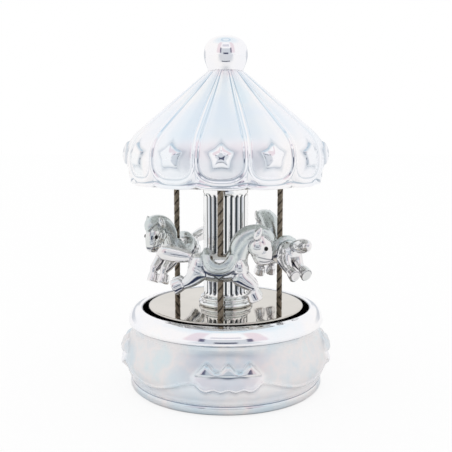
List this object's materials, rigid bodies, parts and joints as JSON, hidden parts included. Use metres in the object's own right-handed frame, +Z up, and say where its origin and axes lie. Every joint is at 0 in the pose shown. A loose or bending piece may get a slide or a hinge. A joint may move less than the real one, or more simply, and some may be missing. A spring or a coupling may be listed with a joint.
{
  "type": "wind-up music box",
  "caption": "Silver-plated carousel music box: horses on twisted poles circle a fluted column under a scalloped canopy, driven by a wind-up movement in the round base.",
  "frame": {"origin": "on the table under the middle of the round base", "axes": "+Z up along the column, -Y towards the side seen in the picture, +X to the viewer's right"},
  "size_m": [0.095, 0.095, 0.1556],
  "materials": {
    "silver_plate": "polished silver plate",
    "pole_metal": "dull bronze",
    "mirror_disc": "mirror",
    "inner_plate": "satin",
    "black_plastic": "matt",
    "felt": "felt",
    "steel": "satin",
    "zinc": "cast",
    "spring_steel": "blued",
    "key_metal": "nickel plate",
    "brass": "polished",
    "nylon": "moulded"
  },
  "bodies": {
    "base": {"base_shell": "silver_plate", "bottom_cover": "black_plastic", "cover_screws": "steel", "felt_ring": "felt", "bedplate": "zinc", "movement_screws": "steel", "comb": "steel", "comb_screws": "steel", "inner_bracket": "zinc", "outer_bracket": "zinc", "idler_bracket": "zinc", "governor_frame": "zinc", "clutch_spring": "steel"},
    "carousel": {"spring_barrel": "zinc", "barrel_cap": "zinc", "mainspring": "spring_steel", "turntable_hub": "zinc", "turntable_disc": "mirror_disc", "tie_rod": "steel", "column_foot": "silver_plate", "column_shaft": "silver_plate", "pole_1": "pole_metal", "pole_2": "pole_metal", "pole_3": "pole_metal", "pole_nuts": "steel", "horse_1": "silver_plate", "horse_2": "silver_plate", "horse_3": "silver_plate", "ceiling_plate": "inner_plate", "canopy": "silver_plate", "finial": "silver_plate"},
    "key": {"winding_arbor": "steel", "wind_key": "key_metal"},
    "cylinder": {"cylinder_arbor": "steel", "drive_pinion": "brass", "music_cylinder": "brass", "cylinder_wheel": "nylon"},
    "idler": {"idler_arbor": "steel", "idler_pinion": "nylon", "worm_wheel": "nylon"},
    "fly": {"worm_shaft": "steel", "fly_vanes": "nylon"}
  },
  "joints": [
    {"name": "carousel_spin", "type": "hinge", "parent": "base", "child": "carousel", "pos_m": [0, 0, 0.03], "axis": [0, 0, 1], "continuous": true},
    {"name": "key_wind", "type": "hinge", "parent": "base", "child": "key", "pos_m": [0, 0, 0.013], "axis": [0, 0, 1], "continuous": true},
    {"name": "cylinder_spin", "type": "hinge", "parent": "base", "child": "cylinder", "pos_m": [0.0147, 0, 0.0216], "axis": [1, 0, 0], "continuous": true},
    {"name": "idler_spin", "type": "hinge", "parent": "base", "child": "idler", "pos_m": [0.0233, 0.01, 0.0216], "axis": [1, 0, 0], "continuous": true},
    {"name": "fly_spin", "type": "hinge", "parent": "base", "child": "fly", "pos_m": [0.026, 0.015, 0.0155], "axis": [0, 0, 1], "continuous": true}
  ],
  "couplings": [
    {"joint": "cylinder_spin", "follows": "carousel_spin", "ratio": 3},
    {"joint": "idler_spin", "follows": "carousel_spin", "ratio": -9},
    {"joint": "fly_spin", "follows": "carousel_spin", "ratio": 180}
  ]
}
